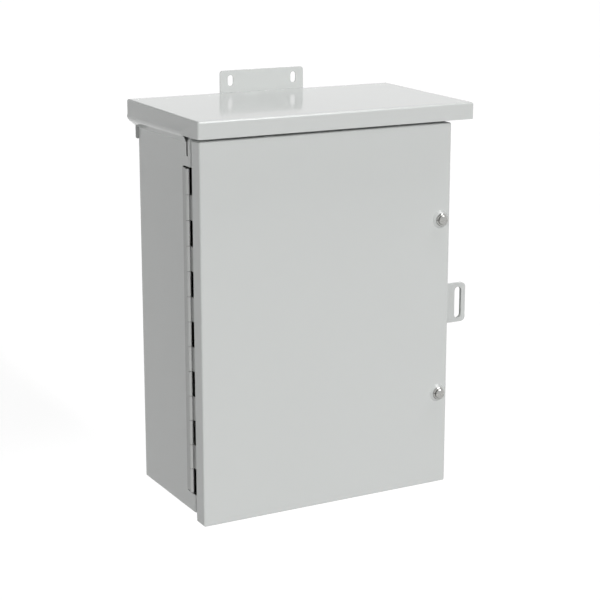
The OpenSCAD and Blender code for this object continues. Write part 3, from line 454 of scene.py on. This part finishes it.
# A rounded rectangle for each (width, height, corner, distance out of the front)
def framedRings(centre, profile, steps):
    x, y, z = centre
    rings = []
    for wide, high, corner, out in profile:
        ring = []
        for k, (sideX, sideZ) in enumerate(((1, 1), (-1, 1), (-1, -1), (1, -1))):
            for j in range(steps + 1):
                t = math.pi / 2 * (k + j / steps)
                ring.append((x + sideX * (wide / 2 - corner) + corner * math.cos(t), y - out,
                             z + sideZ * (high / 2 - corner) + corner * math.sin(t)))
        rings.append(ring)
    return rings


# Screw heads: shares of the height and the radius
headSettings = {
    "disc": 0.6,
    "slotFloor": 0.5,  # the two cheeks start inside the disc
    "cheekWall": 0.75,
    "crown": 0.84,
}


def slottedHead(work, centre, s):
    x, y, z = centre
    share = headSettings
    radius, height, count = s["radius"], s["height"], s["sides"]
    joinRings(work, turnedRings(centre, ((radius, 0.0), (radius, share["disc"] * height)), count))
    start = math.asin(s["slot"] / 2 / radius)
    cheek = ((radius, share["slotFloor"] * height), (radius, share["cheekWall"] * height),
             (share["crown"] * radius, height))
    for side in (0.0, math.pi):
        turns = [side + start + (math.pi - 2 * start) * k / (count // 2) for k in range(count // 2 + 1)]
        joinRings(work, [[(x + r * math.cos(t), y - out, z + r * math.sin(t)) for t in turns]
                         for r, out in cheek])


# Printed words and numbers
inkSettings = {
    "depth": 0.00006,  # metres that the ink stands proud
    "steps": 3,  # points on each curve of a letter
}


def inkText(work, words, centre, size):
    curve = bpy.data.curves.new("ink", "FONT")
    curve.body = words
    curve.size = size
    curve.extrude = inkSettings["depth"]
    curve.resolution_u = inkSettings["steps"]
    curve.align_x = "CENTER"
    curve.align_y = "CENTER"
    holder = addObject("ink", curve)
    mesh = bpy.data.meshes.new_from_object(holder.evaluated_get(bpy.context.evaluated_depsgraph_get()))
    mesh.transform(Matrix.Translation(centre) @ Matrix.Rotation(math.radians(90.0), 4, "X"))
    work.from_mesh(mesh)
    bmesh.ops.remove_doubles(work, verts=work.verts, dist=edgeSettings["merge"])
    bpy.data.objects.remove(holder)
    bpy.data.curves.remove(curve)
    bpy.data.meshes.remove(mesh)


def middle(node):
    low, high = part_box(node)
    return (low + high) / 2


# Threads on the latch barrels behind the door and on the studs that hold the panel
threadSettings = {
    "barrel": {"radius": 0.009, "proud": 0.0004, "pitch": 0.0014, "turns": 9, "start": 0.0077, "sides": 40},
    "stud": {"radius": 0.004, "proud": 0.0003, "pitch": 0.001, "turns": 7, "start": 0.0012, "sides": 24},
    "collar": 0.008,  # radius of the foot that each stud stands on
    "form": {"sunk": 0.25, "root": 0.42, "crest": 0.08},  # of the height, of the pitch, of the pitch
}


def threadRing(work, centre, s, form):
    pitch = s["pitch"]
    sunk = s["radius"] - form["sunk"] * s["proud"]
    crest = s["radius"] + s["proud"]
    profile = ((sunk, form["root"] * pitch), (crest, form["crest"] * pitch),
               (crest, -form["crest"] * pitch), (sunk, -form["root"] * pitch))
    joinRings(work, turnedRings(centre, profile, s["sides"]), closed=True)


def makeThreads(s):
    barrel, stud = s["barrel"], s["stud"]
    upper, lower = middle("upper_latch_housing"), middle("lower_latch_housing")
    work = bmesh.new()
    threadRing(work, (upper.x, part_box("door_panel")[0].y + barrel["start"], upper.z), barrel, s["form"])
    makePiece("latchThreads", work, "door", "bright_latch",
              (barrel["turns"], (0.0, barrel["pitch"], 0.0)), (2, (0.0, 0.0, lower.z - upper.z)))
    low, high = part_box("panel_studs")
    work = bmesh.new()
    for x in (low.x + s["collar"], high.x - s["collar"]):
        threadRing(work, (x, low.y + stud["start"], high.z - s["collar"]), stud, s["form"])
    makePiece("studThreads", work, "cabinet", "zinc_hardware",
              (stud["turns"], (0.0, stud["pitch"], 0.0)), (2, (0.0, 0.0, low.z - high.z + 2 * s["collar"])))


# Terminal strips: a clamp plate round each screw, and the numbers between the rows
terminalSettings = {
    "count": 16,
    "pitch": 0.022,
    "row": 0.009,  # from the strip's middle
    "face": 0.014,  # from the panel
    "plate": (0.0150, 0.0125, 0.0010),
    "hole": 0.0043,
    "plateThick": 0.0009,
    "plateWall": 0.7,  # of the thickness, below the broken edge
    "plateBreak": 0.4,  # of the thickness
    "cornerSteps": 5,
    "textSize": 0.0046,
}


def makeTerminals(s):
    strips = [middle("upper_terminal_strip"), middle("lower_terminal_strip")]
    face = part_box("back_panel")[0].y - s["face"]
    start = -(s["count"] - 1) / 2 * s["pitch"]
    wide, high, corner = s["plate"]
    thick = s["plateThick"]
    edge = s["plateBreak"] * thick
    work = bmesh.new()
    for strip in strips:
        spot = (start, face, strip.z + s["row"])
        outer = framedRings(spot, ((wide, high, corner, 0.0), (wide, high, corner, s["plateWall"] * thick),
                                   (wide - edge, high - edge, corner, thick)), s["cornerSteps"])
        points = len(outer[0])
        turns = [2.0 * math.pi / points * (k + 0.5) for k in range(points)]
        inner = [[(spot[0] + s["hole"] * math.cos(t), face - out, spot[2] + s["hole"] * math.sin(t))
                  for t in turns] for out in (thick, 0.0)]
        joinRings(work, outer + inner, closed=True)
    makePiece("terminalClamps", work, "cabinet", "plated_bar",
              (s["count"], (s["pitch"], 0.0, 0.0)), (2, (0.0, 0.0, -2 * s["row"])))
    work = bmesh.new()
    for k, strip in enumerate(strips):
        for i in range(s["count"]):
            inkText(work, str(1 + i + k * s["count"]), (start + i * s["pitch"], face, strip.z), s["textSize"])
    makePiece("terminalNumbers", work, "cabinet", "pale_plastic")


# Controller: a frame round the display, corner screws, key legends and connector pins
controllerSettings = {
    "frame": {"over": 0.0045, "lap": 0.0006, "thick": 0.0014, "corner": 0.003, "bevel": 0.0006,
              "outerWall": 0.6, "innerWall": 0.5, "cornerSteps": 5},  # walls are shares of the thickness
    "screw": {"radius": 0.0034, "height": 0.0020, "slot": 0.0009, "sides": 24, "inset": 0.0075},
    "keys": ("ABCD", "123<", "456>", "789*", "0.#="),
    "keySpread": 0.3,  # of a key's pitch, left free round the pad's rim
    "textSize": 0.0085,
    "pin": {"radius": 0.0009, "length": 0.0075, "sides": 10, "circle": 0.0058, "count": 6, "floor": 0.012,
            "straight": 0.85, "tip": 0.4},  # shares of the length and the radius
    "plugs": 3,
    "plugPitch": 0.0441,
}


def makeController(s):
    plateLow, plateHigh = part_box("controller_faceplate")
    glassLow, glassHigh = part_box("controller_display")
    glass = middle("controller_display")
    front = plateLow.y
    wide, high = glassHigh.x - glassLow.x, glassHigh.z - glassLow.z
    f = s["frame"]
    work = bmesh.new()
    profile = [(wide + 2 * grow, high + 2 * grow, f["corner"] + grow, out) for grow, out in (
        (f["over"], 0.0), (f["over"], f["outerWall"] * f["thick"]), (f["over"] - f["bevel"], f["thick"]),
        (f["bevel"], f["thick"]), (-f["lap"], f["innerWall"] * f["thick"]), (-f["lap"], 0.0))]
    joinRings(work, framedRings((glass.x, front, glass.z), profile, f["cornerSteps"]), closed=True)
    makePiece("displayFrame", work, "cabinet", "black_plastic")

    screw = s["screw"]
    work = bmesh.new()
    slottedHead(work, (plateLow.x + screw["inset"], front, plateHigh.z - screw["inset"]), screw)
    makePiece("faceplateScrews", work, "cabinet", "zinc_hardware",
              (2, (plateHigh.x - plateLow.x - 2 * screw["inset"], 0.0, 0.0)),
              (2, (0.0, 0.0, plateLow.z - plateHigh.z + 2 * screw["inset"])))

    padLow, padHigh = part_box("controller_keypad")
    pad = middle("controller_keypad")
    columns, rows = len(s["keys"][0]), len(s["keys"])
    stepX = (padHigh.x - padLow.x) / (columns + s["keySpread"])
    stepZ = (padHigh.z - padLow.z) / (rows + s["keySpread"])
    work = bmesh.new()
    for r, line in enumerate(s["keys"]):
        for c, word in enumerate(line):
            inkText(work, word, (pad.x + (c - (columns - 1) / 2) * stepX, padLow.y,
                                 pad.z - (r - (rows - 1) / 2) * stepZ), s["textSize"])
    makePiece("keyLegends", work, "cabinet", "pale_plastic")

    pin = s["pin"]
    plug = middle("controller_connectors")
    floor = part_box("controller_connectors")[0].y + pin["floor"]
    profile = ((pin["radius"], 0.0), (pin["radius"], pin["straight"] * pin["length"]),
               (pin["tip"] * pin["radius"], pin["length"]))
    firstX = plug.x - (s["plugs"] - 1) / 2 * s["plugPitch"]
    spots = [(0.0, 0.0)] + [(pin["circle"] * math.cos(t), pin["circle"] * math.sin(t)) for t in
                            (2.0 * math.pi * k / pin["count"] for k in range(pin["count"]))]
    work = bmesh.new()
    for x, z in spots:
        joinRings(work, turnedRings((firstX + x, floor, plug.z + z), profile, pin["sides"]))
    makePiece("connectorPins", work, "cabinet", "brass_bar", (s["plugs"], (s["plugPitch"], 0.0, 0.0)))


# Load switches: a bright ring round each lamp
ringSettings = {
    "inner": 0.0034,
    "outer": 0.0046,
    "thick": 0.0011,
    "innerBevel": 0.0002,
    "outerBevel": 0.0004,
    "innerWall": 0.6,  # of the thickness
    "outerWall": 0.5,
    "sides": 28,
    "switches": 4,
    "pitch": 0.070,
    "lampsEach": 3,
    "lampRadius": 0.0032,
    "behindTop": 0.0017,
}


def makeLampRings(s):
    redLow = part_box("red_indicators")[0]
    red, yellow = middle("red_indicators"), middle("yellow_indicators")
    profile = ((s["outer"], 0.0), (s["outer"], s["outerWall"] * s["thick"]),
               (s["outer"] - s["outerBevel"], s["thick"]), (s["inner"] + s["innerBevel"], s["thick"]),
               (s["inner"], s["innerWall"] * s["thick"]), (s["inner"], 0.0))
    work = bmesh.new()
    joinRings(work, turnedRings((redLow.x + s["lampRadius"], redLow.y + s["behindTop"], red.z), profile,
                                s["sides"]), closed=True)
    makePiece("lampRings", work, "cabinet", "plated_bar",
              (s["switches"], (s["pitch"], 0.0, 0.0)), (s["lampsEach"], (0.0, 0.0, yellow.z - red.z)))


# Breakers: terminal screws in their wells, and the words beside the toggles
breakerSettings = {
    "screw": {"radius": 0.0031, "height": 0.0022, "slot": 0.0010, "sides": 20},
    "pole": 0.018,
    "wellDeep": 0.0190,  # behind the nose's front
    "well": 0.033,  # above and below the middle
    "mark": 0.0180,
    "textSize": 0.0052,
}


def makeBreakerTrim(s):
    main, signal = middle("main_breaker"), middle("signal_breaker")
    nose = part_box("main_breaker")[0].y
    work = bmesh.new()
    for x in (main.x - s["pole"] / 2, main.x + s["pole"] / 2, signal.x):
        slottedHead(work, (x, nose + s["wellDeep"], main.z + s["well"]), s["screw"])
    makePiece("breakerScrews", work, "cabinet", "zinc_hardware", (2, (0.0, 0.0, -2 * s["well"])))
    work = bmesh.new()
    for x in (main.x, signal.x):
        inkText(work, "ON", (x, nose, main.z + s["mark"]), s["textSize"])
        inkText(work, "OFF", (x, nose, main.z - s["mark"]), s["textSize"])
    makePiece("breakerMarks", work, "cabinet", "black_plastic")


makeThreads(threadSettings)
makeTerminals(terminalSettings)
makeController(controllerSettings)
makeLampRings(ringSettings)
makeBreakerTrim(breakerSettings)
print("trim made")


# Light, floor and world
lightSettings = {
    "floorBelow": 0.45,  # metres under the lowest point: the cabinet hangs on a wall
    "floorSize": 60.0,
    "floorTone": 0.45,
    "floorRough": 0.9,
    "floorGlow": 0.62,  # what the camera sees on top of the lit floor, so that it reads as white
    "ambient": 0.09,
    "suns": {  # azimuth in degrees from the front towards the right, strength in W/m2
        "softSky": {"azimuth": 90.0, "elevation": 75.0, "spread": 40.0, "strength": 1.95, "inGloss": True},
        "keySun": {"azimuth": 0.0, "elevation": 14.0, "spread": 4.0, "strength": 1.86, "inGloss": False},
        "leftSun": {"azimuth": -62.0, "elevation": 6.0, "spread": 14.0, "strength": 0.78, "inGloss": False},
        "rearSun": {"azimuth": 150.0, "elevation": 6.0, "spread": 20.0, "strength": 1.15, "inGloss": False},
    },
    "lamps": {
        "glintLamp": {"azimuth": 27.0, "elevation": 18.0, "distance": 11.0, "size": 2.4, "power": 56.0,
                      "inGloss": True},
    },
    "cards": {  # screens that only the gloss shows, turned to face the aim
        "leftCard": {"azimuth": -62.0, "elevation": -12.0, "distance": 5.0, "size": (7.5, 2.2), "glow": 0.0},
        "rearCard": {"azimuth": 195.0, "elevation": 32.0, "distance": 5.0, "size": (5.0, 2.0), "glow": 0.0},
        "frontCard": {"azimuth": 27.0, "elevation": 38.0, "distance": 9.0, "size": (2.6, 6.0), "glow": 9.0},
    },
    "cardTone": 0.02,
    "aim": (0.0, -0.15, 0.40),
}


def greyOf(tone):
    return (tone, tone, tone, 1.0)


def whiteToCamera(tree):
    rays = tree.nodes.new("ShaderNodeLightPath")
    first = tree.nodes.new("ShaderNodeMath")
    first.operation = "MAXIMUM"
    second = tree.nodes.new("ShaderNodeMath")
    second.operation = "MAXIMUM"
    linkNodes(tree, rays.outputs["Is Camera Ray"], first.inputs[0])
    linkNodes(tree, rays.outputs["Is Glossy Ray"], first.inputs[1])
    linkNodes(tree, first.outputs[0], second.inputs[0])
    linkNodes(tree, rays.outputs["Is Transmission Ray"], second.inputs[1])
    return second.outputs[0]


def makeWorld(s):
    world = bpy.data.worlds.new("paleWorld")
    bpy.context.scene.world = world
    world.use_nodes = True
    tree = world.node_tree
    level = tree.nodes.new("ShaderNodeMapRange")
    level.inputs["To Min"].default_value = s["ambient"]
    level.inputs["To Max"].default_value = 1.0
    backdrop = tree.nodes["Background"]
    backdrop.inputs["Color"].default_value = greyOf(1.0)
    linkNodes(tree, whiteToCamera(tree), level.inputs["Value"])
    linkNodes(tree, level.outputs["Result"], backdrop.inputs["Strength"])


def makeFloor(s):
    half = s["floorSize"] / 2
    mesh = bpy.data.meshes.new("floor")
    level = cadLow.z - s["floorBelow"]
    mesh.from_pydata([(x, y, level) for x, y in ((-half, -half), (half, -half), (half, half), (-half, half))],
                     [], [(0, 1, 2, 3)])
    floor = addObject("floor", mesh)
    material = bpy.data.materials.new("paleFloor")
    material.use_nodes = True
    tree = material.node_tree
    shader = tree.nodes["Principled BSDF"]
    shader.inputs["Base Color"].default_value = greyOf(s["floorTone"])
    shader.inputs["Roughness"].default_value = s["floorRough"]
    shader.inputs["Specular IOR Level"].default_value = 0.0
    shader.inputs["Emission Color"].default_value = greyOf(1.0)
    glow = tree.nodes.new("ShaderNodeMath")
    glow.operation = "MULTIPLY"
    glow.inputs[1].default_value = s["floorGlow"]
    linkNodes(tree, whiteToCamera(tree), glow.inputs[0])
    linkNodes(tree, glow.outputs[0], shader.inputs["Emission Strength"])
    mesh.materials.append(material)


def directionOf(s):
    turn = math.radians(s["azimuth"])
    rise = math.radians(s["elevation"])
    return Vector((math.sin(turn) * math.cos(rise), -math.cos(turn) * math.cos(rise), math.sin(rise)))


def makeSun(name, s):
    data = bpy.data.lights.new(name, "SUN")
    data.angle = math.radians(s["spread"])
    data.energy = s["strength"]
    lamp = addObject(name, data)
    lamp.rotation_euler = (-directionOf(s)).to_track_quat("-Z", "Y").to_euler()
    lamp.visible_glossy = s["inGloss"]


def makeLamp(name, s, aim):
    data = bpy.data.lights.new(name, "AREA")
    data.shape = "DISK"
    data.size = s["size"]
    data.energy = s["power"]
    lamp = addObject(name, data)
    away = directionOf(s)
    lamp.location = Vector(aim) + s["distance"] * away
    lamp.rotation_euler = (-away).to_track_quat("-Z", "Y").to_euler()
    lamp.visible_glossy = s["inGloss"]


def makeCardFinish(name, tone, glow):
    material = bpy.data.materials.new(name)
    material.use_nodes = True
    shader = material.node_tree.nodes["Principled BSDF"]
    shader.inputs["Base Color"].default_value = greyOf(tone)
    shader.inputs["Roughness"].default_value = 1.0
    shader.inputs["Specular IOR Level"].default_value = 0.0
    shader.inputs["Emission Color"].default_value = greyOf(1.0)
    shader.inputs["Emission Strength"].default_value = glow
    return material


def makeCard(name, s, aim, tone):
    away = directionOf(s)
    turn = away.to_track_quat("Z", "Y")
    wide, high = (length / 2 for length in s["size"])
    corners = [Vector(aim) + s["distance"] * away + turn @ Vector((x, y, 0.0))
               for x, y in ((-wide, -high), (wide, -high), (wide, high), (-wide, high))]
    mesh = bpy.data.meshes.new(name)
    mesh.from_pydata(corners, [], [(0, 1, 2, 3)])
    mesh.materials.append(makeCardFinish(name, tone, s["glow"]))
    card = addObject(name, mesh)
    card.visible_camera = False
    card.visible_diffuse = False
    card.visible_shadow = False
    card.visible_transmission = False


makeWorld(lightSettings)
makeFloor(lightSettings)
for name, sun in lightSettings["suns"].items():
    makeSun(name, sun)
for name, lamp in lightSettings["lamps"].items():
    makeLamp(name, lamp, lightSettings["aim"])
for name, card in lightSettings["cards"].items():
    makeCard(name, card, lightSettings["aim"], lightSettings["cardTone"])
print("light set")
